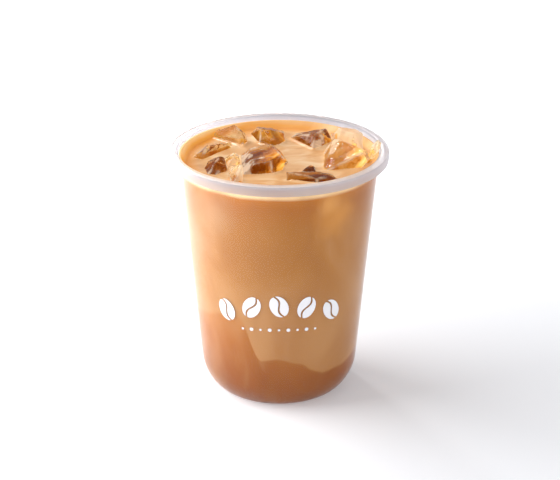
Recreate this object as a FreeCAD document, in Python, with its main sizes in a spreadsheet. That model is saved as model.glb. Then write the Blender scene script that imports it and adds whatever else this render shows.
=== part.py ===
"""Iced milk coffee in a clear U-shaped cold cup.

A thin injection-moulded cup with a flanged rim holds two layers of coffee, a dark one below and a milky one
above, with broken ice standing out of the surface. Millimetres, +Z up, origin on the axis at the foot.
"""

import FreeCAD, Part
import math
import os

import Sketcher

Vector = FreeCAD.Vector
Rotation = FreeCAD.Rotation
Placement = FreeCAD.Placement

SIZES = {
    # the cup
    "rim_diameter": 95.0,
    "cup_height": 111.0,
    "wall": 0.8,
    "wall_taper": 5.4,
    "mouth_flare": 14.0,
    "mouth_band": 5.5,
    "upper_corner": 20.0,
    "lower_corner": 9.0,
    "corner_break": 42.0,
    "floor_thickness": 1.2,
    "foot_recess": 0.6,
    "foot_ring": 2.6,
    "gate_radius": 1.6,
    "gate_height": 0.35,
    "flange_width": 3.0,
    "flange_thickness": 1.2,
    "skirt_height": 4.2,
    "skirt_thickness": 1.0,
    "outer_round": 0.9,
    "inner_round": 0.6,
    "skirt_round": 0.4,
    # the drink
    "fill_gap": 5.2,
    "meniscus_radius": 3.6,
    "meniscus_turn": 66.0,
    "layer_height": 17.2,
    "layer_bank": 27.5,
    "layer_hump": 9.5,
    "layer_back": 12.0,
    # the radius, at the drink's level, that the ice below was laid out in
    "ice_circle": 42.40351,
}

# Each piece of ice: its size, where its middle lies, how far that is under the drink's level, and its turn.
ICE_FIELDS = ("long", "wide", "tall", "across", "back", "sunk", "yaw", "pitch", "roll")
ICE = {
    "ice_left_back": (20.2, 14.8, 4.8, -20.9, 22.0, 2.6, -81.9, 43.6, 39.4),
    "ice_back": (17.5, 21.0, 11.3, -5.3, 23.5, 5.5, -67.5, -11.5, 75.9),
    "ice_right_back": (12.8, 12.3, 16.0, 14.6, 22.5, 2.7, -82.0, 43.0, -36.3),
    "ice_right": (24.1, 7.8, 13.0, 29.4, 21.6, 0.9, -67.7, -35.0, -12.6),
    "ice_right_front": (12.7, 21.4, 20.7, 25.3, -1.5, 3.8, -2.9, 37.7, -28.5),
    "ice_shard_right": (3.1, 13.4, 19.4, 38.4, -1.3, 1.6, 140.8, -20.8, 51.7),
    "ice_centre": (25.1, 23.8, 11.1, -10.0, -7.6, 1.9, 15.5, -41.7, -8.7),
    "ice_front": (26.3, 14.5, 5.9, 17.4, -26.4, 5.4, 12.4, 5.0, -89.3),
    "ice_left": (3.7, 20.8, 10.9, -31.4, 7.2, 2.9, 133.0, -19.2, -39.7),
    "ice_shard_tall": (7.1, 4.4, 6.3, -20.1, -7.0, -0.9, 139.6, 59.0, 37.0),
    "ice_shard_left": (6.5, 9.5, 5.7, -27.1, -13.4, 2.8, -42.0, -20.9, 32.2),
    "ice_shard_front": (3.8, 5.8, 10.2, -18.2, -25.8, 1.1, 11.8, 3.1, -18.5),
    "ice_chip": (6.2, 4.2, 6.0, 12.3, -14.3, 2.4, 41.0, 11.7, 30.8),
}
# A second block, this much larger and turned this far, chips the corners off each piece.
CHIP_SHARE = 1.1
CHIP_TURN = (33.0, 24.0, 17.0)

# The cup's inside radius at the drink's level, from the sheet.
LEVEL_RADIUS = (
    "(sizes.rim_diameter / 2 - sizes.flange_width - sizes.wall"
    " - tan(sizes.mouth_flare * 1 deg) * min(sizes.fill_gap; sizes.mouth_band)"
    " - tan(sizes.wall_taper * 1 deg) * max(sizes.fill_gap - sizes.mouth_band; 0))"
)

START, END, CENTRE = 1, 2, 3
ORIGIN, H_AXIS, V_AXIS = -1, -1, -2


def fill_sheet(doc):
    """One cell for each driving size, and one for each number of the ice table."""
    rows = dict(SIZES)
    for piece, numbers in ICE.items():
        for field, number in zip(ICE_FIELDS, numbers):
            rows[f"{piece}_{field}"] = number
    sheet = doc.addObject("Spreadsheet::Sheet", "sizes")
    for row, (alias, number) in enumerate(rows.items(), start=1):
        sheet.set(f"A{row}", alias)
        sheet.set(f"B{row}", repr(number))
        sheet.setAlias(f"B{row}", alias)
    doc.recompute()
    return sheet


class Sizes:
    """The sheet's values, and the sine, cosine and tangent that the first positions need."""

    def __init__(self, sheet):
        self.sheet = sheet

    def __getattr__(self, alias):
        return float(self.sheet.get(alias))

    def tan(self, alias):
        return math.tan(math.radians(getattr(self, alias)))

    def level_radius(self):
        in_band = min(self.fill_gap, self.mouth_band)
        below_band = self.fill_gap - in_band
        mouth_r = self.rim_diameter / 2 - self.flange_width - self.wall
        return mouth_r - self.tan("mouth_flare") * in_band - self.tan("wall_taper") * below_band


# ---------------------------------------------------------------- sketches


def new_body(doc, label):
    body = doc.addObject("PartDesign::Body", label)
    body.Label = label
    return body


def new_sketch(body, name):
    """A sketch in the body's XZ plane: x is the radius and y the height."""
    sketch = body.newObject("Sketcher::SketchObject", name)
    plane = next(f for f in body.Origin.OriginFeatures if f.Role == "XZ_Plane")
    sketch.AttachmentSupport = [(plane, "")]
    sketch.MapMode = "FlatFace"
    return sketch


def line(sketch, start, end, helper=False):
    return sketch.addGeometry(Part.LineSegment(Vector(*start, 0), Vector(*end, 0)), helper)


def arc(sketch, centre, radius, start_deg, end_deg):
    circle = Part.Circle(Vector(*centre, 0), Vector(0, 0, 1), radius)
    bow = Part.ArcOfCircle(circle, math.radians(start_deg), math.radians(end_deg))
    return sketch.addGeometry(bow, False)


def tie(sketch, *constraint):
    return sketch.addConstraint(Sketcher.Constraint(*constraint))


def drive(sketch, name, formula, *constraint):
    """A named dimension whose value follows the sheet."""
    sketch.renameConstraint(tie(sketch, *constraint), name)
    sketch.setExpression(f"Constraints.{name}", formula)


def revolve(body, kind, sketch, name):
    """A full turn about the cup's axis. kind is Revolution or Groove."""
    feature = body.newObject(f"PartDesign::{kind}", name)
    feature.Profile = sketch
    feature.ReferenceAxis = (sketch, ["V_Axis"])
    feature.Angle = 360.0
    body.Document.recompute()
    return feature


def u_section(sketch, size, inset, floor, inset_formula, floor_formula):
    """Half section of the U shape: floor, two tangent corner arcs, tapered wall, flared mouth and axis.

    The cup's outside has no inset. Its cavity is the same shape, inset by the wall and raised to the floor.
    """
    taper, turn = math.radians(size.wall_taper), math.radians(size.corner_break)
    upper, lower = size.upper_corner - inset, size.lower_corner - inset
    mouth_r = size.rim_diameter / 2 - size.flange_width - inset
    band_z = size.cup_height - size.mouth_band
    band_r = mouth_r - size.tan("mouth_flare") * size.mouth_band
    lower_z = floor + lower
    upper_z = lower_z + (upper - lower) * math.sin(turn)
    bend_z = upper_z - upper * math.sin(taper)
    bend_r = band_r - size.tan("wall_taper") * (band_z - bend_z)
    upper_r = bend_r - upper * math.cos(taper)
    lower_r = upper_r + (upper - lower) * math.cos(turn)
    break_point = (lower_r + lower * math.cos(turn), lower_z - lower * math.sin(turn))
    top = size.cup_height

    foot = line(sketch, (0, floor), (lower_r, floor))
    low = arc(sketch, (lower_r, lower_z), lower, -90, -size.corner_break)
    high = arc(sketch, (upper_r, upper_z), upper, -size.corner_break, -size.wall_taper)
    wall = line(sketch, (bend_r, bend_z), (band_r, band_z))
    mouth = line(sketch, (band_r, band_z), (mouth_r, top))
    lid = line(sketch, (mouth_r, top), (0, top))
    axis = line(sketch, (0, top), (0, floor))
    spoke = line(sketch, break_point, (upper_r, upper_z), helper=True)

    tie(sketch, "Tangent", foot, END, low, START)
    tie(sketch, "Tangent", low, END, high, START)
    tie(sketch, "Tangent", high, END, wall, START)
    for first, second in ((wall, mouth), (mouth, lid), (lid, axis), (axis, foot)):
        tie(sketch, "Coincident", first, END, second, START)
    tie(sketch, "Coincident", spoke, START, high, START)
    tie(sketch, "Coincident", spoke, END, high, CENTRE)
    tie(sketch, "Horizontal", foot)
    tie(sketch, "Horizontal", lid)
    tie(sketch, "PointOnObject", axis, START, V_AXIS)
    tie(sketch, "PointOnObject", axis, END, V_AXIS)
    if floor_formula:
        drive(sketch, "floor", floor_formula, "DistanceY", ORIGIN, 1, foot, START, floor)
    else:
        tie(sketch, "PointOnObject", foot, START, H_AXIS)
    drive(sketch, "upper", f"sizes.upper_corner{inset_formula}", "Radius", high, upper)
    drive(sketch, "lower", f"sizes.lower_corner{inset_formula}", "Radius", low, lower)
    drive(sketch, "turn", "180 - sizes.corner_break", "Angle", spoke, math.pi - turn)
    drive(sketch, "taper", "90 - sizes.wall_taper", "Angle", wall, math.pi / 2 - taper)
    drive(
        sketch, "flare", "90 - sizes.mouth_flare", "Angle", mouth, math.radians(90 - size.mouth_flare)
    )
    drive(sketch, "band", "sizes.mouth_band", "DistanceY", mouth, START, mouth, END, size.mouth_band)
    drive(sketch, "top", "sizes.cup_height", "DistanceY", ORIGIN, 1, mouth, END, top)
    mouth_formula = f"sizes.rim_diameter / 2 - sizes.flange_width{inset_formula}"
    drive(sketch, "mouth_radius", mouth_formula, "DistanceX", ORIGIN, 1, mouth, END, mouth_r)
    return lower_r


def box_section(sketch, corners, formulas):
    """A closed outline of upright and level lines through corners, each new r or z driven by a formula."""
    count = len(corners)
    lines = [line(sketch, corners[i], corners[(i + 1) % count]) for i in range(count)]
    for i in range(count):
        after = (i + 1) % count
        tie(sketch, "Coincident", lines[i], END, lines[after], START)
        level = abs(corners[i][1] - corners[after][1]) < 1e-9
        tie(sketch, "Horizontal" if level else "Vertical", lines[i])
    for name, (corner, way, formula) in formulas.items():
        value = corners[corner][0 if way == "DistanceX" else 1]
        if formula is None:
            tie(sketch, "PointOnObject", lines[corner], START, V_AXIS if way == "DistanceX" else H_AXIS)
        else:
            drive(sketch, name, formula, way, ORIGIN, 1, lines[corner], START, value)


# ---------------------------------------------------------------- the cup


def round_edges(body, name, size_alias, wanted):
    """A fillet on the full circles at the wanted (radius, height) places."""
    base = body.Tip
    found = []
    for index, edge in enumerate(base.Shape.Edges, start=1):
        curve = edge.Curve
        if not isinstance(curve, Part.Circle) or math.hypot(curve.Center.x, curve.Center.y) > 1e-6:
            continue
        if any(abs(curve.Radius - r) < 1e-3 and abs(curve.Center.z - z) < 1e-3 for r, z in wanted):
            found.append(f"Edge{index}")
    if len(found) < len(wanted):
        raise RuntimeError(f"{name}: {len(found)} of {len(wanted)} edges found")
    fillet = body.newObject("PartDesign::Fillet", name)
    fillet.Base = (base, found)
    fillet.setExpression("Radius", f"sizes.{size_alias}")
    body.Document.recompute()


def make_cup(doc, size):
    """Clear polypropylene cup: U-shaped shell, flange with a turned-down skirt, foot ring and gate mark."""
    body = new_body(doc, "cup")
    outside = new_sketch(body, "cup_outside")
    foot_r = u_section(outside, size, 0.0, 0.0, "", "")
    revolve(body, "Revolution", outside, "cup_blank")

    top = size.cup_height
    rim_r = size.rim_diameter / 2
    skirt_r = rim_r - size.skirt_thickness
    seat_r = rim_r - size.flange_width - size.wall / 2
    flange_z = top - size.flange_thickness
    skirt_z = top - size.skirt_height
    rim = new_sketch(body, "rim_section")
    box_section(
        rim,
        [
            (seat_r, flange_z),
            (skirt_r, flange_z),
            (skirt_r, skirt_z),
            (rim_r, skirt_z),
            (rim_r, top),
            (seat_r, top),
        ],
        {
            "seat": (0, "DistanceX", "sizes.rim_diameter / 2 - sizes.flange_width - sizes.wall / 2"),
            "flange_under": (0, "DistanceY", "sizes.cup_height - sizes.flange_thickness"),
            "skirt_inside": (2, "DistanceX", "sizes.rim_diameter / 2 - sizes.skirt_thickness"),
            "skirt_bottom": (2, "DistanceY", "sizes.cup_height - sizes.skirt_height"),
            "rim_radius": (4, "DistanceX", "sizes.rim_diameter / 2"),
            "rim_top": (4, "DistanceY", "sizes.cup_height"),
        },
    )
    revolve(body, "Revolution", rim, "flange_and_skirt")

    inside = new_sketch(body, "cup_inside")
    floor = size.foot_recess + size.floor_thickness
    u_section(inside, size, size.wall, floor, " - sizes.wall", "sizes.foot_recess + sizes.floor_thickness")
    revolve(body, "Groove", inside, "cup_cavity")

    recess = new_sketch(body, "foot_recess_section")
    recess.addExternal(outside.Name, "Edge1")
    ring_r = foot_r - size.foot_ring
    nub_z = size.foot_recess - size.gate_height
    box_section(
        recess,
        [
            (0, nub_z),
            (0, 0),
            (ring_r, 0),
            (ring_r, size.foot_recess),
            (size.gate_radius, size.foot_recess),
            (size.gate_radius, nub_z),
        ],
        {
            "axis": (0, "DistanceX", None),
            "gate_bottom": (0, "DistanceY", "sizes.foot_recess - sizes.gate_height"),
            "ground": (1, "DistanceY", None),
            "recess_roof": (3, "DistanceY", "sizes.foot_recess"),
            "gate": (4, "DistanceX", "sizes.gate_radius"),
        },
    )
    drive(recess, "ring", "sizes.foot_ring", "DistanceX", 2, START, -3, END, size.foot_ring)
    revolve(body, "Groove", recess, "foot_ring_recess")

    round_edges(body, "rim_outer_round", "outer_round", [(rim_r, top)])
    round_edges(body, "rim_inner_round", "inner_round", [(rim_r - size.flange_width - size.wall, top)])
    round_edges(body, "skirt_end_round", "skirt_round", [(rim_r, skirt_z), (skirt_r, skirt_z)])
    return body


# ---------------------------------------------------------------- the drink


def make_fill(doc, size):
    """All of the drink: the cup's cavity up to the level, with a meniscus that climbs the wall."""
    cavity = new_body(doc, "cavity_form")
    floor = size.foot_recess + size.floor_thickness
    inside = new_sketch(cavity, "cavity_outline")
    u_section(inside, size, size.wall, floor, " - sizes.wall", "sizes.foot_recess + sizes.floor_thickness")
    revolve(cavity, "Revolution", inside, "cavity_turned")

    level = size.cup_height - size.fill_gap
    bow = math.radians(size.meniscus_turn)
    radius = size.meniscus_radius
    start_r = size.level_radius() - 0.8 * radius * math.sin(bow)
    tip_r, tip_z = start_r + radius * math.sin(bow), level + radius * (1 - math.cos(bow))
    reach, clear_z = size.rim_diameter / 2, size.cup_height + size.wall
    body = new_body(doc, "air_form")
    sketch = new_sketch(body, "air_outline")
    floor_line = line(sketch, (0, level), (start_r, level))
    curve = arc(sketch, (start_r, level + radius), radius, -90, -90 + size.meniscus_turn)
    out = line(sketch, (tip_r, tip_z), (reach, tip_z))
    side = line(sketch, (reach, tip_z), (reach, clear_z))
    lid = line(sketch, (reach, clear_z), (0, clear_z))
    axis = line(sketch, (0, clear_z), (0, level))
    spoke = line(sketch, (start_r, level + radius), (tip_r, tip_z), helper=True)
    tie(sketch, "Tangent", floor_line, END, curve, START)
    tie(sketch, "Coincident", curve, END, out, START)
    for first, second in ((out, side), (side, lid), (lid, axis), (axis, floor_line)):
        tie(sketch, "Coincident", first, END, second, START)
    tie(sketch, "Coincident", spoke, START, curve, CENTRE)
    tie(sketch, "Coincident", spoke, END, curve, END)
    for level_line in (floor_line, out, lid):
        tie(sketch, "Horizontal", level_line)
    for upright in (side, axis):
        tie(sketch, "Vertical", upright)
    tie(sketch, "PointOnObject", axis, START, V_AXIS)
    level_formula = "sizes.cup_height - sizes.fill_gap"
    drive(sketch, "level", level_formula, "DistanceY", ORIGIN, 1, floor_line, START, level)
    drive(sketch, "meniscus", "sizes.meniscus_radius", "Radius", curve, radius)
    drive(sketch, "bow", "sizes.meniscus_turn - 90", "Angle", spoke, bow - math.pi / 2)
    start_formula = f"{LEVEL_RADIUS} - 0.8 * sizes.meniscus_radius * sin(sizes.meniscus_turn * 1 deg)"
    drive(sketch, "start", start_formula, "DistanceX", ORIGIN, 1, floor_line, END, start_r)
    drive(sketch, "reach", "sizes.rim_diameter / 2", "DistanceX", ORIGIN, 1, side, START, reach)
    drive(sketch, "clear", "sizes.cup_height + sizes.wall", "DistanceY", ORIGIN, 1, side, END, clear_z)
    revolve(body, "Revolution", sketch, "air_turned")

    fill = doc.addObject("Part::Cut", "fill")
    fill.Base, fill.Tool = cavity, body
    return fill


def smooth(value):
    value = min(1.0, max(0.0, value))
    return value * value * (3 - 2 * value)


def layer_top(size, x, y):
    """Height of the dark layer's top: a high bank at the left, a low hump in front, and waves behind."""
    angle = math.degrees(math.atan2(x, -y))
    bank = smooth((-angle - 12) / 17) * (1 - smooth((-angle - 30) / 120))
    hump = smooth(1 - abs(angle + 2) / 42)
    back = smooth((abs(angle) - 75) / 60) * (0.6 + 0.4 * math.sin(math.radians(3 * angle)))
    at_wall = size.layer_height + size.layer_bank * bank + size.layer_hump * hump + size.layer_back * back
    middle = size.layer_height + size.layer_bank / 2
    share = smooth(math.hypot(x, y) / (size.rim_diameter / 3))
    return middle + (at_wall - middle) * share


def make_dark_side(doc, size):
    """Everything below the wavy border between the two layers, as a tool for the booleans."""
    reach = size.rim_diameter / 2
    steps = 36
    rows = [
        [
            Vector(x, y, layer_top(size, x, y))
            for y in (reach * (2 * j / steps - 1) for j in range(steps + 1))
        ]
        for x in (reach * (2 * i / steps - 1) for i in range(steps + 1))
    ]
    border = Part.BSplineSurface()
    border.interpolate(rows)
    below = border.toShape().extrude(Vector(0, 0, -size.cup_height))
    tool = doc.addObject("Part::Feature", "dark_side")
    tool.Shape = below
    return tool


# ---------------------------------------------------------------- the ice


def ice_block(doc, size, piece, name, share, extra_turn):
    """One box of a piece of ice, about the piece's middle and turned with it.

    The ice as a whole is laid out about the middle of the surface and follows the cup's width there.
    """
    box = doc.addObject("Part::Box", name)
    for side, field in (("Length", "long"), ("Width", "wide"), ("Height", "tall")):
        box.setExpression(side, f"sizes.{piece}_{field} * {share} * {LEVEL_RADIUS} / sizes.ice_circle")
    spread = size.level_radius() / size.ice_circle
    sides = [getattr(size, f"{piece}_{field}") for field in ("long", "wide", "tall")]
    half = Vector(*sides) * (share * spread / 2)
    middle = Vector(
        getattr(size, f"{piece}_across"),
        getattr(size, f"{piece}_back"),
        -getattr(size, f"{piece}_sunk"),
    )
    middle = middle * spread + Vector(0, 0, size.cup_height - size.fill_gap)
    turn = Rotation(*(getattr(size, f"{piece}_{field}") for field in ("yaw", "pitch", "roll")))
    turn = turn * Rotation(*extra_turn)
    box.Placement = Placement(middle, turn) * Placement(-half, Rotation())
    return box


def make_ice(doc, size):
    """Cubes and shards whose corners a second, turned block has chipped away."""
    pieces = []
    for piece in ICE:
        block = ice_block(doc, size, piece, f"{piece}_block", 1.0, (0, 0, 0))
        chipper = ice_block(doc, size, piece, f"{piece}_chipper", CHIP_SHARE, CHIP_TURN)
        chipped = doc.addObject("Part::Common", piece)
        chipped.Base, chipped.Tool = block, chipper
        chipped.Label = piece
        pieces.append(chipped)
    return pieces


# ---------------------------------------------------------------- the whole drink


def main():
    doc = FreeCAD.newDocument("iced_coffee")
    size = Sizes(fill_sheet(doc))
    cup = make_cup(doc, size)
    fill = make_fill(doc, size)
    dark_side = make_dark_side(doc, size)
    ice = make_ice(doc, size)

    dark = doc.addObject("Part::Common", "dark_coffee")
    dark.Base, dark.Tool = fill, dark_side
    above = doc.addObject("Part::Cut", "above_dark")
    above.Base, above.Tool = fill, dark_side
    all_ice = doc.addObject("Part::MultiFuse", "all_ice")
    all_ice.Shapes = ice
    milky = doc.addObject("Part::Cut", "milky_coffee")
    milky.Base, milky.Tool = above, all_ice
    doc.recompute()

    for thing in doc.Objects:
        if any(word in thing.State for word in ("Invalid", "Error")):
            raise RuntimeError(f"{thing.Name} failed: {thing.State}")
    os.makedirs("parts", exist_ok=True)
    for part in [cup, dark, milky, *ice]:
        shape = part.Shape
        if shape.isNull() or not shape.isValid() or not shape.Solids:
            raise RuntimeError(f"{part.Label} has no valid solid")
        shape.exportStep(f"parts/{part.Label}.step")
        print(f"{part.Label}: {len(shape.Solids)} solid, {shape.Volume / 1000:.2f} ml")


main()
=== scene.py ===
"""Looks of an iced milk coffee in a clear U-shaped cup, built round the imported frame. Lengths in metres."""

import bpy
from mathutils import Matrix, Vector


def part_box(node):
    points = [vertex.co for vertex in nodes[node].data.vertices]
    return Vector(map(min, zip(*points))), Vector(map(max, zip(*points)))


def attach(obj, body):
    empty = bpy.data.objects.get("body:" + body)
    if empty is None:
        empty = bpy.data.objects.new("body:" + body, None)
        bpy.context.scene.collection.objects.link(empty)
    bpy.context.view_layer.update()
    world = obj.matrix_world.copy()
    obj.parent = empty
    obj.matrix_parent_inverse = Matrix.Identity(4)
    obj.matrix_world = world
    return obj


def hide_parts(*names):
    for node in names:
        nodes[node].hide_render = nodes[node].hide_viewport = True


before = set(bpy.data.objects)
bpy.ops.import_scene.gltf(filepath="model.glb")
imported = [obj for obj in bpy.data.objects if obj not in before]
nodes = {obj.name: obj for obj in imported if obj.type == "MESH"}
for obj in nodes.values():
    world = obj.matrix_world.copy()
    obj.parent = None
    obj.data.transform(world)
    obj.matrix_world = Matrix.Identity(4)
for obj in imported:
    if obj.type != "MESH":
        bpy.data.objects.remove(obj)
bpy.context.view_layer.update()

import math

import bmesh
import bpy
import numpy as np
from mathutils import Vector, noise
from mathutils.bvhtree import BVHTree

# ---------------------------------------------------------------- camera
# A long lens in front of the cup and above it, looking down by a little under 23 degrees. It is
# level from side to side and turned by a hair to bring the cup's axis to the middle of the frame.
scene = bpy.context.scene
camera = bpy.data.objects.new("camera", bpy.data.cameras.new("camera"))
scene.collection.objects.link(camera)
camera.data.sensor_width = 36.0
camera.data.lens = 123.1
camera.data.clip_start, camera.data.clip_end = 0.05, 20.0
camera.location = (0.0, -0.7774, 0.3937)
camera.rotation_mode = "XYZ"
camera.rotation_euler = (math.radians(90 - 22.73), 0.0, math.radians(-0.033))
scene.camera = camera
scene.view_settings.view_transform = "Standard"

# ---------------------------------------------------------------- floor, background and light
# A sheet of white paper that the cup stands on, one large soft light at the left, a weak one at the right and
# a small one behind that makes the ice sparkle. A white room fills the shadows.


def node_adder(tree):
    def add(kind, inputs=(), **settings):
        made = tree.nodes.new(kind)
        for setting, value in settings.items():
            setattr(made, setting, value)
        for socket, value in dict(inputs).items():
            if isinstance(value, bpy.types.NodeSocket):
                tree.links.new(value, made.inputs[socket])
            else:
                made.inputs[socket].default_value = value
        return made

    return add


def new_material(name):
    """An empty material, and a function that adds a node to it with its inputs set or linked."""
    material = bpy.data.materials.new(name)
    material.use_nodes = True
    material.node_tree.nodes.clear()
    return material, node_adder(material.node_tree)


def sums(add, operation, first, second=0.0, third=0.0, clamp=False):
    """One Math node's result."""
    return add(
        "ShaderNodeMath", {0: first, 1: second, 2: third}, operation=operation, use_clamp=clamp
    ).outputs[0]


floor_mesh = bpy.data.meshes.new("floor")
shape = bmesh.new()
bmesh.ops.create_grid(shape, x_segments=1, y_segments=1, size=6.0)
shape.to_mesh(floor_mesh)
shape.free()
floor = bpy.data.objects.new("floor", floor_mesh)
floor.location.z = 0.0
scene.collection.objects.link(floor)
material, add = new_material("white_sweep")
paper = add("ShaderNodeBsdfDiffuse", {"Color": (0.90, 0.91, 0.94, 1)})
split = add("ShaderNodeSeparateXYZ", {0: add("ShaderNodeTexCoord").outputs["Object"]})
across, back = split.outputs["X"], split.outputs["Y"]
# painted light: the paper glows, strongly to the left of the cup and a little more farther back, a painted
# pool of light where the left light falls
paper_glow_left = add(
    "ShaderNodeMapRange",
    {0: across, 1: 0.06, 2: -0.22, 3: 0.08, 4: 1.5},
    interpolation_type="SMOOTHSTEP",
)
paper_glow_back = add("ShaderNodeMapRange", {0: back, 1: 0.08, 2: 0.45, 3: 0.0, 4: 0.5})
lift = add(
    "ShaderNodeEmission",
    {"Color": (0.97, 0.98, 1.0, 1), "Strength": sums(add, "ADD", paper_glow_left.outputs[0], paper_glow_back.outputs[0])},
)
both = add("ShaderNodeAddShader", {0: paper.outputs[0], 1: lift.outputs[0]})
add("ShaderNodeOutputMaterial", {"Surface": both.outputs[0]})
floor.data.materials.append(material)

world = bpy.data.worlds.new("room")
scene.world = world
world.use_nodes = True
world.node_tree.nodes.clear()
add = node_adder(world.node_tree)
path = add("ShaderNodeLightPath")
seen = add("ShaderNodeBackground", {"Strength": 1.05})
room = add("ShaderNodeBackground", {"Color": (0.98, 0.985, 1.0, 1), "Strength": 0.50})
mix = add("ShaderNodeMixShader", {0: path.outputs["Is Camera Ray"], 1: room.outputs[0], 2: seen.outputs[0]})
add("ShaderNodeOutputWorld", {"Surface": mix.outputs[0]})

lamps = [
    # name, place, aim, width, height, power
    ("side_panel", (-0.80, 0.13, 0.50), (0, 0.0, 0.07), 1.1, 0.7, 12.0),
    ("right_fill", (0.80, -0.35, 0.50), (0, 0, 0.06), 0.5, 0.5, 2.0),
    ("sparkle", (-0.30, 0.75, 0.85), (0, 0, 0.1), 0.09, 0.09, 1.2),
]
for name, place, aim, width, height, power in lamps:
    lamp = bpy.data.lights.new(name, "AREA")
    lamp.shape = "RECTANGLE"
    lamp.size, lamp.size_y = width, height
    lamp.energy = power
    holder = bpy.data.objects.new(name, lamp)
    holder.location = place
    holder.rotation_mode = "QUATERNION"
    holder.rotation_quaternion = (Vector(aim) - Vector(place)).to_track_quat("-Z", "Y")
    scene.collection.objects.link(holder)

# ---------------------------------------------------------------- cup
# One thin shell of clear polypropylene, moulded in one shot: foot ring and gate mark below, flange and skirt
# at the rim. The rim and the height come from the frame, and the other sizes are those of the solids.
MM = 0.001
cup_low, cup_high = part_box("cup")
rim_radius = (cup_high.x - cup_low.x) / 2 / MM
cup_height = cup_high.z / MM
wall = 0.8
wall_taper = math.radians(5.4)
mouth_flare = math.radians(14.0)
mouth_band = 5.5
upper_corner, lower_corner = 20.0, 9.0
corner_break = math.radians(42.0)
flange_width, flange_thickness = 3.0, 1.2
skirt_height, skirt_thickness = 4.2, 1.0
ring_width = 2.6
inner_floor = 1.8


def half_section(inset, floor, corner_steps=14, wall_steps=24):
    """(radius, height) points of the U shape, set in from the outside: from its floor's edge to the mouth."""
    upper, lower = upper_corner - inset, lower_corner - inset
    mouth_r = rim_radius - flange_width - inset
    band_r = mouth_r - math.tan(mouth_flare) * mouth_band
    band_z = cup_height - mouth_band
    lower_z = floor + lower
    upper_z = lower_z + (upper - lower) * math.sin(corner_break)
    bend_z = upper_z - upper * math.sin(wall_taper)
    bend_r = band_r - math.tan(wall_taper) * (band_z - bend_z)
    upper_r = bend_r - upper * math.cos(wall_taper)
    lower_r = upper_r + (upper - lower) * math.cos(corner_break)
    points = []
    for step in range(corner_steps + 1):
        turn = -math.pi / 2 + (math.pi / 2 - corner_break) * step / corner_steps
        points.append((lower_r + lower * math.cos(turn), lower_z + lower * math.sin(turn)))
    for step in range(1, corner_steps + 1):
        turn = -corner_break + (corner_break - wall_taper) * step / corner_steps
        points.append((upper_r + upper * math.cos(turn), upper_z + upper * math.sin(turn)))
    for step in range(1, wall_steps + 1):
        share = step / wall_steps
        points.append((bend_r + (band_r - bend_r) * share, bend_z + (band_z - bend_z) * share))
    points.append((mouth_r, cup_height))
    return points


def radius_at(points, height):
    """The section's radius at a height."""
    heights = [z for _, z in points]
    return float(np.interp(height, heights, [r for r, _ in points]))


def turned(name, section, segments):
    """A piece turned about Z from (radius, height) points that start and end on the axis, in millimetres."""
    shape = bmesh.new()
    corners = [shape.verts.new((r * MM, 0, z * MM)) for r, z in section]
    edges = [shape.edges.new(pair) for pair in zip(corners, corners[1:])]
    bmesh.ops.spin(
        shape,
        geom=corners + edges,
        cent=(0, 0, 0),
        axis=(0, 0, 1),
        angle=2 * math.pi,
        steps=segments,
        use_merge=True,
    )
    bmesh.ops.remove_doubles(shape, verts=shape.verts, dist=0.001 * MM)
    bmesh.ops.recalc_face_normals(shape, faces=shape.faces)
    mesh = bpy.data.meshes.new(name)
    shape.to_mesh(mesh)
    shape.free()
    piece = bpy.data.objects.new(name, mesh)
    scene.collection.objects.link(piece)
    return piece


def ramp(add, share, stops, interpolation="LINEAR"):
    """A colour ramp's result. stops holds (share, colour) pairs."""
    made = add("ShaderNodeValToRGB", {"Fac": share})
    made.color_ramp.interpolation = interpolation
    elements = made.color_ramp.elements
    while len(elements) < len(stops):
        elements.new(0.5)
    for element, (at, _) in zip(elements, stops):
        element.position = at
    for element, (at, colour) in zip(elements, stops):
        element.color = (*colour, 1) if len(colour) == 3 else colour
    return made.outputs["Color"]


def blend(add, share, first, second):
    """A mix of two colours."""
    made = add("ShaderNodeMix", data_type="RGBA")
    tree_links = made.id_data.links
    for socket, value in ((0, share), (6, first), (7, second)):
        if isinstance(value, bpy.types.NodeSocket):
            tree_links.new(value, made.inputs[socket])
        elif socket == 0:
            made.inputs[0].default_value = value
        else:
            made.inputs[socket].default_value = (*value, 1)
    return made.outputs[2]


outer_section = half_section(0.0, 0.0)
inner_section = half_section(wall, inner_floor)


def rounded(corner, before, after, radius, steps=4):
    """Points that round one corner of a section."""
    c, a, b = (np.array(p, float) for p in (corner, before, after))
    start, end = c + radius * (a - c) / np.linalg.norm(a - c), c + radius * (b - c) / np.linalg.norm(b - c)
    points = []
    for step in range(steps + 1):
        t = step / steps
        points.append(tuple((1 - t) ** 2 * start + 2 * t * (1 - t) * c + t * t * end))
    return points


foot_r = outer_section[0][0]
ring_r = foot_r - ring_width
skirt_z, under_z = cup_height - skirt_height, cup_height - flange_thickness
skirt_r = rim_radius - skirt_thickness
wall_at_flange = radius_at(outer_section, under_z)
mouth_r = inner_section[-1][0]
gate_mark = [(0, 0.25), (1.5, 0.25), (1.6, 0.35), (1.6, 0.6)]
section = gate_mark + [(ring_r - 0.1, 0.6), (ring_r, 0.5), (ring_r, 0.15)]
section += rounded((ring_r, 0), (ring_r, 1), (foot_r, 0), 0.2, 2)
section += outer_section[:-1]
section += [(wall_at_flange - 0.25, under_z - 1.0), (wall_at_flange + 0.1, under_z - 0.2)]
section += [(wall_at_flange + 0.4, under_z)]
section += [(skirt_r - 0.3, under_z), (skirt_r, under_z - 0.3)]
section += rounded((skirt_r, skirt_z), (skirt_r, under_z), (rim_radius, skirt_z), 0.4)
section += rounded((rim_radius, skirt_z), (skirt_r, skirt_z), (rim_radius, cup_height), 0.4)
section += rounded((rim_radius, cup_height), (rim_radius, skirt_z), (mouth_r, cup_height), 1.0, 6)
section += rounded((mouth_r, cup_height), (rim_radius, cup_height), inner_section[-2], 0.7, 5)
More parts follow.
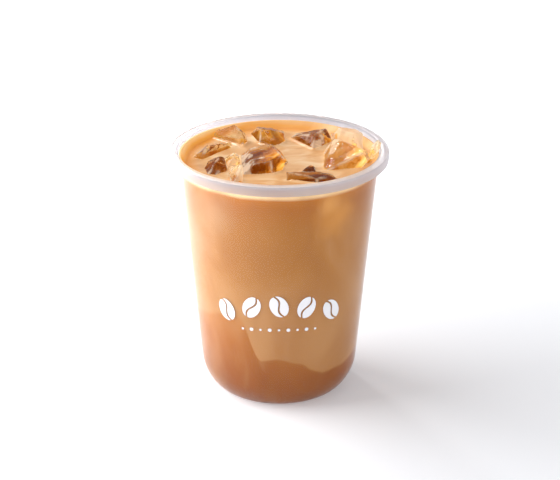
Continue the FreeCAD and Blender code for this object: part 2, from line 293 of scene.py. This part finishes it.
section += inner_section[:-1][::-1] + [(0, inner_floor)]
cup = turned("cup_shell", section, 288)
cup.data.shade_smooth()
cup.data.set_sharp_from_angle(angle=math.radians(50))
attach(cup, "root")
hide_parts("cup")

material, add = new_material("clear_polypropylene")
place = add("ShaderNodeTexCoord")
z = add("ShaderNodeSeparateXYZ", {0: place.outputs["Object"]}).outputs["Z"]
in_rim = add(
    "ShaderNodeMapRange", {0: z, 1: (skirt_z - 0.6) * MM, 2: (skirt_z + 0.2) * MM, 3: 0.0, 4: 1.0}
).outputs[0]
flow = add("ShaderNodeTexNoise", {"Vector": place.outputs["Object"], "Scale": 220.0, "Detail": 2.0})
wet = sums(add, "MULTIPLY_ADD", flow.outputs["Fac"], 0.03, 0.02)
roughness = sums(add, "MULTIPLY_ADD", in_rim, 0.27, wet)
# painted shade: thin grey lines painted at the rim's edges and under the skirt, where a thick clear edge
# looks darker; the plastic is also made cloudier there
split = add("ShaderNodeSeparateXYZ", {0: place.outputs["Object"]})
y_squared = sums(add, "MULTIPLY", split.outputs["Y"], split.outputs["Y"])
rim_r = sums(add, "SQRT", sums(add, "MULTIPLY_ADD", split.outputs["X"], split.outputs["X"], y_squared))
edges = ramp(
    add,
    add("ShaderNodeMapRange", {0: rim_r, 1: 43.2 * MM, 2: 47.6 * MM, 3: 0.0, 4: 1.0}).outputs[0],
    [(share, (grey,) * 3) for share, grey in ((0, 0), (0.10, 1), (0.20, 1), (0.28, 0), (0.86, 0), (0.93, 1))],
)
skirt_underside_shade = add("ShaderNodeMapRange", {0: z, 1: (skirt_z + 0.5) * MM, 2: skirt_z * MM, 3: 0.0, 4: 1.0}).outputs[0]
edges = sums(add, "MULTIPLY", sums(add, "MAXIMUM", edges, skirt_underside_shade), in_rim)
rim_tone_and_edge_shade = blend(add, edges, (0.97, 0.88, 0.84), (0.46, 0.44, 0.48))
clear = add(
    "ShaderNodeBsdfPrincipled",
    {
        "Base Color": blend(
            add, edges, blend(add, in_rim, (0.985, 0.985, 1.0), (0.96, 0.95, 0.98)), (0.74, 0.73, 0.79)
        ),
        "Transmission Weight": 1.0,
        "IOR": 1.45,
        "Roughness": roughness,
    },
)
haze = add("ShaderNodeBsdfTranslucent", {"Color": rim_tone_and_edge_shade})
chalk = add("ShaderNodeBsdfDiffuse", {"Color": rim_tone_and_edge_shade})
milk = add("ShaderNodeMixShader", {0: 0.45, 1: haze.outputs[0], 2: chalk.outputs[0]})
cloudiness = sums(add, "MULTIPLY_ADD", edges, 0.30, sums(add, "MULTIPLY_ADD", in_rim, 0.12, 0.004))
cloudy = add("ShaderNodeMixShader", {0: cloudiness, 1: clear.outputs[0], 2: milk.outputs[0]})
open_path = add("ShaderNodeBsdfTransparent", {"Color": (0.97, 0.97, 0.98, 1)})
path = add("ShaderNodeLightPath")
unseen = sums(add, "MAXIMUM", path.outputs["Is Shadow Ray"], path.outputs["Is Diffuse Ray"])
mix = add("ShaderNodeMixShader", {0: unseen, 1: cloudy.outputs[0], 2: open_path.outputs[0]})
add("ShaderNodeOutputMaterial", {"Surface": mix.outputs[0]})
cup.data.materials.append(material)

# ---------------------------------------------------------------- ice
# Broken pieces of clear ice that float in the drink, wet and half melted. Each is the node's solid with
# rounded edges, dimples and a lumpy skin, and a slightly smaller copy cuts the pocket that it floats in.
ice_names = sorted(name for name in nodes if name.startswith("ice_"))
# how much cream clings to a piece: at its middle, and how it grows along +X, +Y and +Z over the piece
creaminess = {
    "ice_centre": (0.35, -1.4, 0.0, 0.0), "ice_right": (0.50, 0.0, 0.0, 0.5),
    "ice_shard_right": (0.25, 0.0, 0.0, 0.7),
    "ice_right_front": (0.25, -0.5, 0.6, 0.3), "ice_right_back": (0.1, 0.3, -0.7, 0.0),
    "ice_left_back": (0.15, 0.4, -0.6, -0.3), "ice_shard_tall": (0.45, 0.3, 0.0, 0.4),
    "ice_shard_front": (0.35, 0.8, 0.0, 0.0), "ice_shard_left": (0.2, 0.5, 0.0, 0.0),
    "ice_left": (0.1, 0.0, 0.0, 0.3),
}
# how brown the coffee that shows through a piece makes it
staining = {
    "ice_front": 1.3, "ice_chip": 1.2, "ice_back": 0.75, "ice_left_back": 0.5, "ice_right_back": 0.55,
    "ice_centre": 0.45, "ice_right": 0.12, "ice_right_front": 0.15, "ice_shard_left": 0.6, "ice_left": 0.4,
    "ice_shard_front": 0.3,
}
# pieces whose tips a solid of flat faces leaves short: how much larger they are drawn, and their shift
drawn_out = {
    "ice_front": (1.15, (-0.8, 0.8, -0.2)), "ice_left": (1.2, (1.2, -0.5, 0.6)),
    "ice_chip": (1.2, (0, 0, 0.5)), "ice_shard_left": (1.4, (0, 0, 0.8)),
    "ice_shard_front": (1.3, (0, 0.3, 0.8)), "ice_right_front": (1.08, (0, 0, 0.4)),
}


def meshed(piece):
    """The piece's mesh with its modifiers applied."""
    graph = bpy.context.evaluated_depsgraph_get()
    return bpy.data.meshes.new_from_object(piece.evaluated_get(graph))


def ice_mesh(node, name, edge, voxel, lump):
    """The node's solid, rounded by edge, remeshed and made lumpy. Lengths in millimetres."""
    shape = bmesh.new()
    shape.from_mesh(nodes[node].data)
    bmesh.ops.remove_doubles(shape, verts=shape.verts, dist=0.01 * MM)
    bmesh.ops.dissolve_limit(shape, angle_limit=math.radians(1), verts=shape.verts, edges=shape.edges)
    growth, shift = drawn_out.get(node, (1.0, (0, 0, 0)))
    middle = sum((v.co for v in shape.verts), Vector()) / len(shape.verts)
    for v in shape.verts:
        v.co = middle + (v.co - middle) * growth + Vector(shift) * MM
    ridges = np.array([[v.co / MM for v in edge.verts] for edge in shape.edges])
    bmesh.ops.bevel(
        shape,
        geom=shape.edges[:],
        offset=edge * MM,
        segments=2,
        affect="EDGES",
        profile=0.6,
        clamp_overlap=True,
    )
    rough = bpy.data.meshes.new(name)
    shape.to_mesh(rough)
    shape.free()
    piece = bpy.data.objects.new(name, rough)
    scene.collection.objects.link(piece)
    remesh = piece.modifiers.new("even", "REMESH")
    remesh.mode = "VOXEL"
    remesh.voxel_size = voxel * MM
    smooth = piece.modifiers.new("melted", "SMOOTH")
    smooth.iterations = 2
    smooth.factor = 0.5
    mesh = meshed(piece)
    piece.modifiers.clear()
    piece.data = mesh
    seed = Vector((len(node) * 7.0, sum(map(ord, node)) * 0.37, 3.0))
    moved = []
    for v in mesh.vertices:
        p = v.co / MM
        wave = noise.noise(p * 0.16 + seed) * 0.55 + noise.noise(p * 0.45 + seed) * 0.3
        grain = noise.noise(p * 1.3 + seed) * 0.1
        moved.append(v.co + v.normal * ((wave + grain) * lump + 0.15) * MM)
    points = np.array([v.co / MM for v in mesh.vertices])
    nearest = np.full(len(points), 9.0)
    for start, end in ridges:
        along = end - start
        share = np.clip(((points - start) @ along) / (along @ along), 0, 1)
        nearest = np.minimum(nearest, np.linalg.norm(points - start - share[:, None] * along, axis=1))
    # painted highlight: the piece is whiter along its edges, standing in for edges that catch the light, and
    # rougher there like frost
    edge_frost_and_highlight = mesh.attributes.new("edge_frost_and_highlight", "FLOAT", "POINT")
    edge_frost_and_highlight.data.foreach_set("value", np.exp(-((nearest / 0.75) ** 2)))
    middle, span = points.mean(axis=0), np.ptp(points, axis=0)
    base, slope_x, slope_y, slope_z = creaminess.get(node, (0.0, 0.0, 0.0, 0.0))
    share = (points - middle) / span
    cream = mesh.attributes.new("cream", "FLOAT", "POINT")
    cream.data.foreach_set("value", np.clip(base + share @ np.array((slope_x, slope_y, slope_z)), 0, 1))
    stain = mesh.attributes.new("stain", "FLOAT", "POINT")
    stain.data.foreach_set("value", np.full(len(points), staining.get(node, 0.0)))
    for v, place in zip(mesh.vertices, moved):
        v.co = place
    mesh.update()
    mesh.shade_smooth()
    return piece


ice_pieces, cutters = [], []
for node in ice_names:
    piece = ice_mesh(node, node.replace("ice_", "ice_piece_"), 0.45, 0.45, 0.7)
    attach(piece, "root")
    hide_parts(node)
    ice_pieces.append(piece)
    cutter = bpy.data.objects.new("cutter_" + node, piece.data.copy())
    for v in cutter.data.vertices:
        v.co -= v.normal * 0.12 * MM
    scene.collection.objects.link(cutter)
    cutters.append(cutter)

material, add = new_material("wet_ice")
place = add("ShaderNodeTexCoord")
crack = add("ShaderNodeTexNoise", {"Vector": place.outputs["Object"], "Scale": 330.0, "Detail": 3.0})
bump = add("ShaderNodeBump", {"Strength": 0.12, "Distance": 0.001, "Height": crack.outputs["Fac"]})
edge_frost_and_highlight = add("ShaderNodeAttribute", attribute_name="edge_frost_and_highlight")
stain = add("ShaderNodeAttribute", attribute_name="stain").outputs["Fac"]
depths = add("ShaderNodeTexNoise", {"Vector": place.outputs["Object"], "Scale": 150.0, "Detail": 1.0})
depths = add("ShaderNodeMapRange", {0: depths.outputs["Fac"], 1: 0.38, 2: 0.58, 3: 0.35, 4: 1.0}).outputs[0]
stained = sums(add, "MULTIPLY", stain, depths, clamp=True)
ice = add(
    "ShaderNodeBsdfPrincipled",
    {
        "Base Color": blend(add, stained, (0.98, 0.93, 0.72), (0.50, 0.27, 0.06)),
        "Transmission Weight": 1.0,
        "IOR": 1.25,
        "Specular IOR Level": 0.3,
        "Specular Tint": (1.0, 0.86, 0.62, 1),
        "Roughness": sums(add, "MULTIPLY_ADD", edge_frost_and_highlight.outputs["Fac"], 0.25, 0.03),
        "Normal": bump.outputs[0],
    },
)
# the white of the clinging cream and of the painted edge highlights
cream_and_highlight_white = add("ShaderNodeBsdfDiffuse", {"Color": (1.0, 0.86, 0.66, 1)})
shine = add("ShaderNodeBsdfTranslucent", {"Color": (1.0, 0.82, 0.56, 1)})
white = add("ShaderNodeMixShader", {0: 0.4, 1: cream_and_highlight_white.outputs[0], 2: shine.outputs[0]})
patches = add("ShaderNodeTexNoise", {"Vector": place.outputs["Object"], "Scale": 190.0, "Detail": 2.0})
broken = add("ShaderNodeMapRange", {0: patches.outputs["Fac"], 1: 0.42, 2: 0.62, 3: 0.0, 4: 1.0})
creamy = add("ShaderNodeAttribute", attribute_name="cream").outputs["Fac"]
over_half = sums(add, "ADD", creamy, sums(add, "MULTIPLY_ADD", patches.outputs["Fac"], 1.6, -1.25))
cloud = add("ShaderNodeMapRange", {0: over_half, 1: -0.04, 2: 0.12, 3: 0.0, 4: 0.8}).outputs[0]
whiteness = sums(add, "MAXIMUM", sums(add, "MULTIPLY", edge_frost_and_highlight.outputs["Fac"], broken.outputs[0]), cloud)
body = add(
    "ShaderNodeMixShader", {0: sums(add, "MULTIPLY", whiteness, 0.75), 1: ice.outputs[0], 2: white.outputs[0]}
)
open_path = add("ShaderNodeBsdfTransparent", {"Color": (0.96, 0.94, 0.9, 1)})
path = add("ShaderNodeLightPath")
unseen = sums(add, "MAXIMUM", path.outputs["Is Shadow Ray"], path.outputs["Is Diffuse Ray"])
mix = add("ShaderNodeMixShader", {0: unseen, 1: body.outputs[0], 2: open_path.outputs[0]})
add("ShaderNodeOutputMaterial", {"Surface": mix.outputs[0]})
for piece in ice_pieces:
    piece.data.materials.clear()
    piece.data.materials.append(material)

# ---------------------------------------------------------------- coffee
# Milk coffee over darker coffee, so that two layers show through the wall. Both are one body that reaches a
# little into the wall, so no air shows. Its top is drawn up at the wall and round the ice, and each piece of
# ice has a pocket in it.
fill_gap = 5.2
drink_level = cup_height - fill_gap
reach = 0.3
coffee_section = half_section(wall - reach, inner_floor - reach)
side = [p for p in coffee_section if p[1] < drink_level]
level_r = radius_at(coffee_section, drink_level)
wall_r = radius_at(inner_section, drink_level)
section = [(0, inner_floor - reach)] + side
film_top = drink_level + 3.1
section += [(level_r, drink_level), (radius_at(coffee_section, film_top), film_top)]
bow = 3.4
rings = 70
top_rings = []
for step in range(rings):
    r = (wall_r + 0.15) * (1 - (step / rings) ** 1.15) if step else wall_r + 0.15
    drop = max(0.0, r - (wall_r + 0.15 - bow))
    top_rings.append((r, drink_level + (film_top - drink_level) * (drop / bow) ** 2.8))
section += top_rings + [(0, drink_level)]
coffee = turned("coffee", section, 256)
tops = []
for node in ice_names:
    shape = bmesh.new()
    shape.from_mesh(nodes[node].data)
    bmesh.ops.remove_doubles(shape, verts=shape.verts, dist=0.01 * MM)
    tops.append(BVHTree.FromBMesh(shape))
    shape.free()
for v in coffee.data.vertices:
    p = v.co / MM
    if p.z < drink_level - 0.01 or math.hypot(p.x, p.y) > wall_r - 0.5:
        continue
    near = min(tree.find_nearest(v.co)[3] for tree in tops) / MM
    ripple = noise.noise(Vector((p.x * 0.11, p.y * 0.11, 1.7))) * 0.09
    ripple += noise.noise(Vector((p.x * 0.3, p.y * 0.3, 5.0))) * 0.04
    v.co.z += (0.9 * math.exp(-near / 0.7) + ripple) * MM
material, add = new_material("milk_coffee")
place = add("ShaderNodeTexCoord").outputs["Object"]
split = add("ShaderNodeSeparateXYZ", {0: place})
x, y, z = (split.outputs[axis] for axis in "XYZ")
radius = sums(add, "SQRT", sums(add, "MULTIPLY_ADD", x, x, sums(add, "MULTIPLY", y, y)))
turn = sums(add, "MULTIPLY_ADD", sums(add, "ARCTAN2", x, sums(add, "MULTIPLY", y, -1.0)), 0.5 / math.pi, 0.5)
wisps = add(
    "ShaderNodeTexNoise", {"Vector": place, "Scale": 28.0, "Detail": 3.0, "Distortion": 0.6}
).outputs["Fac"]
clouds = add(
    "ShaderNodeTexNoise", {"Vector": place, "Scale": 55.0, "Detail": 2.0, "Distortion": 1.0}
).outputs["Fac"]
# the border of the layers, as a height in units of 60 mm against the angle round the cup
border = ramp(
    add,
    turn,
    [
        (share / 360 + 0.5, (height / 60,) * 3)
        for share, height in (
            (-180, 26), (-130, 30), (-100, 34), (-75, 39), (-57, 41.7), (-45, 43.9), (-32, 46), (-26, 45.3),
            (-23, 41.2), (-19, 33.4), (-16, 27.9), (-13, 24.8), (-1, 26.7), (7, 24.9), (19, 22.3), (26, 19.6),
            (33, 17.3), (54, 17.4), (78, 20.4), (110, 27), (140, 22), (180, 26),
        )
    ],
)
edge_wave = sums(add, "MULTIPLY_ADD", clouds, 0.07, sums(add, "SUBTRACT", border, 0.035))
below = sums(add, "SUBTRACT", edge_wave, sums(add, "MULTIPLY", z, 1 / 0.060))
dark_share = add("ShaderNodeMapRange", {0: below, 1: -0.012, 2: 0.012, 3: 0.0, 4: 1.0}).outputs[0]
height = sums(add, "MULTIPLY", z, 1 / 0.110)
calm = add("ShaderNodeMapRange", {0: height, 1: 0.80, 2: 0.93, 3: 0.18, 4: 0.015}).outputs[0]
# painted shade: the light layer grows darker and more orange towards the top, most in the band under the rim
light_side = ramp(
    add,
    sums(add, "ADD", height, sums(add, "MULTIPLY", sums(add, "SUBTRACT", wisps, 0.5), calm)),
    [
        (0.10, (0.50, 0.225, 0.066)),
        (0.34, (0.50, 0.228, 0.070)),
        (0.60, (0.465, 0.190, 0.038)),
        (0.80, (0.445, 0.165, 0.022)),
        (0.90, (0.44, 0.136, 0.010)),
        (0.934, (0.52, 0.16, 0.010)),
        (0.947, (0.97, 0.66, 0.34)),
    ],
)
dark_side = ramp(
    add,
    sums(add, "MULTIPLY_ADD", wisps, 0.2, sums(add, "SUBTRACT", height, 0.1)),
    [
        (0.02, (0.20, 0.048, 0.002)),
        (0.14, (0.30, 0.076, 0.003)),
        (0.28, (0.40, 0.120, 0.009)),
        (0.42, (0.48, 0.17, 0.022)),
    ],
)
side_colour = blend(add, dark_share, light_side, dark_side)
mottle_place = add("ShaderNodeMapping", {"Vector": place, "Scale": (1.0, 1.0, 0.6)})
mottle = add(
    "ShaderNodeTexNoise", {"Vector": mottle_place.outputs[0], "Scale": 34.0, "Detail": 3.0, "Distortion": 1.2}
).outputs["Fac"]
deeper = add("ShaderNodeMapRange", {0: mottle, 1: 0.46, 2: 0.68, 3: 0.0, 4: 0.40}).outputs[0]
side_colour = blend(add, deeper, side_colour, (0.35, 0.115, 0.012))
paler = add("ShaderNodeMapRange", {0: mottle, 1: 0.48, 2: 0.32, 3: 0.0, 4: 0.22}).outputs[0]
side_colour = blend(add, paler, side_colour, (0.66, 0.36, 0.15))
# painted light: soft patches, lighter and more orange, painted on the coffee behind the wall as glows and
# reflections of the lights
for painted_glow_spot, reach_mm, strength, painted_glow_tint in (
    ((25, -33, 93), 13, 0.75, (0.72, 0.30, 0.05)),
    ((21, -36, 99), 7, 0.6, (0.85, 0.40, 0.10)),
    ((-27, -31, 94), 15, 0.45, (0.56, 0.33, 0.17)),
    ((-34, -20, 76), 16, 0.35, (0.66, 0.38, 0.19)),
    ((5, -40, 50), 22, 0.35, (0.56, 0.27, 0.10)),
):
    away = add(
        "ShaderNodeVectorMath", {0: place, 1: Vector(painted_glow_spot) * MM}, operation="DISTANCE"
    ).outputs["Value"]
    away = sums(add, "ADD", away, sums(add, "MULTIPLY_ADD", clouds, 0.012, -0.006))
    near = add(
        "ShaderNodeMapRange",
        {0: away, 1: 0.0, 2: reach_mm * MM, 3: strength, 4: 0.0},
        interpolation_type="SMOOTHSTEP",
    ).outputs[0]
    side_colour = blend(add, near, side_colour, painted_glow_tint)
# the surface: tan with cream swirls, and a painted glow: saturated orange at the back and left by the wall,
# where light from the left comes in through it
swirl_place = add("ShaderNodeMapping", {"Vector": place, "Scale": (1.0, 1.7, 1.0), "Rotation": (0, 0, 0.5)})
swirls = add(
    "ShaderNodeTexNoise", {"Vector": swirl_place.outputs[0], "Scale": 40.0, "Detail": 2.0, "Distortion": 1.8}
).outputs["Fac"]
cream = ramp(
    add, swirls, [(0.34, (0.70, 0.35, 0.14)), (0.50, (0.79, 0.44, 0.20)), (0.66, (0.87, 0.58, 0.33))]
)
from_wall = sums(add, "MULTIPLY_ADD", radius, -1 / (10 * MM), wall_r / 10)
leftness = add("ShaderNodeMapRange", {0: x, 1: 0.036, 2: -0.030, 3: 0.15, 4: 1.0}).outputs[0]
edge_light = ramp(
    add,
    sums(add, "MULTIPLY_ADD", wisps, 0.3, sums(add, "SUBTRACT", from_wall, 0.15)),
    [
        (0.0, (1.0, 0.66, 0.30)),
        (0.10, (0.96, 0.42, 0.06)),
        (0.24, (0.80, 0.27, 0.012)),
        (0.45, (0.74, 0.30, 0.05)),
    ],
)
glow_share = ramp(add, from_wall, [(0.05, (1, 1, 1)), (0.4, (0.85,) * 3), (0.75, (0, 0, 0))])
backness = add("ShaderNodeMapRange", {0: y, 1: -0.032, 2: -0.008, 3: 0.25, 4: 1.0}).outputs[0]
glow_share = sums(add, "MULTIPLY", glow_share, backness)
surface_colour = blend(add, sums(add, "MULTIPLY", glow_share, leftness), cream, edge_light)
on_top = add(
    "ShaderNodeMapRange", {0: z, 1: (drink_level - 0.9) * MM, 2: (drink_level - 0.4) * MM, 3: 0.0, 4: 1.0}
).outputs[0]
colour = blend(add, on_top, side_colour, surface_colour)
# the painted glow is given as emission as well, on the top only
glow_power = sums(add, "MULTIPLY", on_top, 0.20)
skin = add(
    "ShaderNodeBsdfPrincipled",
    {
        "Base Color": colour,
        "Roughness": 0.22,
        "IOR": 1.34,
        "Specular IOR Level": 0.5,
        "Emission Color": edge_light,
        "Emission Strength": sums(add, "MULTIPLY", sums(add, "MULTIPLY", glow_share, leftness), glow_power),
    },
)
add("ShaderNodeOutputMaterial", {"Surface": skin.outputs[0]})
coffee.data.materials.append(material)
# behind the wall the coffee has no gloss of its own: the gloss seen there is the wall's
behind_wall = material.copy()
behind_wall.name = "milk_coffee_behind_wall"
behind_wall.node_tree.nodes[skin.name].inputs["Specular IOR Level"].default_value = 0.0
pocket, add = new_material("coffee_round_ice")
place = add("ShaderNodeTexCoord").outputs["Object"]
z = add("ShaderNodeSeparateXYZ", {0: place}).outputs["Z"]
# painted shade: the coffee round the ice is darker the deeper it lies under the top
depth_shade = add(
    "ShaderNodeMapRange", {0: z, 1: drink_level * MM, 2: (drink_level - 11) * MM, 3: 0.0, 4: 1.0}
).outputs[0]
veins = add(
    "ShaderNodeTexNoise", {"Vector": place, "Scale": 130.0, "Detail": 2.0, "Distortion": 1.2}
).outputs["Fac"]
own = add("ShaderNodeAttribute", attribute_name="pocket_tone").outputs["Fac"]
from_depth = sums(add, "MULTIPLY_ADD", depth_shade, 0.35, sums(add, "ADD", own, -0.72))
tone = sums(add, "MULTIPLY_ADD", veins, 1.3, from_depth)
amber = ramp(
    add,
    tone,
    [
        (0.0, (0.93, 0.68, 0.32)),
        (0.25, (0.84, 0.50, 0.14)),
        (0.42, (0.72, 0.34, 0.05)),
        (0.56, (0.60, 0.21, 0.015)),
        (0.80, (0.36, 0.095, 0.003)),
    ],
)
# a faint amber emission: a painted glow that lifts the pockets out of their shade
deep = add(
    "ShaderNodeBsdfPrincipled",
    {
        "Base Color": amber,
        "Roughness": 0.6,
        "Specular IOR Level": 0.0,
        "Emission Color": amber,
        "Emission Strength": 0.14,
    },
)
add("ShaderNodeOutputMaterial", {"Surface": deep.outputs[0]})
for cutter in cutters:
    cut = coffee.modifiers.new("pocket", "BOOLEAN")
    cut.operation = "DIFFERENCE"
    cut.object = cutter
    cut.solver = "MANIFOLD"
coffee.data = meshed(coffee)
coffee.modifiers.clear()
coffee.data.materials.clear()
coffee.data.materials.append(material)
coffee.data.materials.append(pocket)
coffee.data.materials.append(behind_wall)
# how dark the coffee is that shows through each piece
pocket_tones = {
    "ice_back": 0.58, "ice_centre": 0.56, "ice_chip": 0.95, "ice_front": 1.0, "ice_left": 0.38,
    "ice_left_back": 0.52, "ice_right": 0.26, "ice_right_back": 0.50, "ice_right_front": 0.20,
    "ice_shard_front": 0.5, "ice_shard_left": 0.65, "ice_shard_right": 0.42, "ice_shard_tall": 0.30,
}
tone_of = coffee.data.attributes.new("pocket_tone", "FLOAT", "FACE")
# a face is part of a pocket where it lies on the skin of the piece that cut it
skins = []
for cutter in cutters:
    places = [v.co for v in cutter.data.vertices]
    skins.append(BVHTree.FromPolygons(places, [tuple(face.vertices) for face in cutter.data.polygons]))
deepest_ice, on_skin, top_edge = drink_level - 30, 0.06, drink_level - 0.65
for face in coffee.data.polygons:
    if face.center.z < top_edge * MM:
        face.material_index = 2
    if face.center.z <= deepest_ice * MM:
        continue
    for node, tree in zip(ice_names, skins):
        if tree.find_nearest(face.center, on_skin * MM)[0] is not None:
            tone_of.data[face.index].value = pocket_tones[node]
            face.material_index = 1
coffee.data.shade_smooth()
coffee.data.set_sharp_from_angle(angle=math.radians(50))
for cutter in cutters:
    bpy.data.objects.remove(cutter)
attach(coffee, "root")
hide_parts("milky_coffee", "dark_coffee")

# ---------------------------------------------------------------- print
# White ink screen-printed on the front of the wall: a row of coffee beans that tilt in turn, over a line of
# dots. Each bean is two crescents with a curved gap between them, laid on the wall as a film.
ink_lift = 0.03


def on_wall(across, height, lift):
    """A point on the wall's outside, from its place across the front and its height in millimetres."""
    r = radius_at(outer_section, height) + lift
    turn = across / radius_at(outer_section, height)
    return Vector((r * math.sin(turn), -r * math.cos(turn), height)) * MM


def strip(shape, left, right, columns=4):
    """A sheet between two lists of (across, height) points, laid on the wall."""
    rows = []
    for (xl, zl), (xr, zr) in zip(left, right):
        shares = [i / columns for i in range(columns + 1)]
        row = [on_wall(xl + (xr - xl) * s, zl + (zr - zl) * s, ink_lift) for s in shares]
        rows.append([shape.verts.new(point) for point in row])
    for low, high in zip(rows, rows[1:]):
        for i in range(columns):
            shape.faces.new((low[i], low[i + 1], high[i + 1], high[i]))


shape = bmesh.new()
beans = [(-24.0, 48.5, 28), (-12.0, 52.0, -24), (0.0, 53.2, 24), (12.0, 52.0, -24), (24.0, 48.5, 28)]
bean_long, bean_wide, crease = 5.3, 3.9, 0.42
for across, height, tilt in beans:
    lean = math.radians(tilt)
    for side_sign in (-1, 1):
        inner_line, outer_line = [], []
        for step in range(29):
            t = -0.97 + 1.94 * step / 28
            edge_x = bean_wide * math.sqrt(1 - t * t)
            middle = 0.26 * bean_wide * math.sin(math.pi * t)
            inner_x = middle + side_sign * crease
            outer_x = side_sign * max(edge_x, side_sign * inner_x + 0.05)
            for line_points, u in ((inner_line, inner_x), (outer_line, outer_x)):
                v = t * bean_long
                place_x = across + u * math.cos(lean) - v * math.sin(lean)
                place_z = height + u * math.sin(lean) + v * math.cos(lean)
                line_points.append((place_x, place_z))
        strip(shape, *((inner_line, outer_line) if side_sign > 0 else (outer_line, inner_line)))
for index in range(9):
    across = -16.0 + 4.0 * index
    size = 0.85 if index % 2 else 0.55
    height = 40.5 + 1.2 * math.cos(across / 14)
    ring = [
        shape.verts.new(on_wall(across + size * math.cos(a), height + size * math.sin(a), ink_lift))
        for a in (2 * math.pi * i / 20 for i in range(20))
    ]
    shape.faces.new(ring)
bmesh.ops.recalc_face_normals(shape, faces=shape.faces)
for face in shape.faces:
    if face.normal.dot(Vector((face.calc_center_median().x, face.calc_center_median().y, 0))) < 0:
        face.normal_flip()
mesh = bpy.data.meshes.new("bean_print")
shape.to_mesh(mesh)
shape.free()
mesh.shade_smooth()
bean_print = bpy.data.objects.new("bean_print", mesh)
scene.collection.objects.link(bean_print)
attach(bean_print, "root")
material, add = new_material("white_ink")
ink = add("ShaderNodeBsdfPrincipled", {"Base Color": (0.90, 0.89, 0.92, 1), "Roughness": 0.35})
add("ShaderNodeOutputMaterial", {"Surface": ink.outputs[0]})
bean_print.data.materials.append(material)
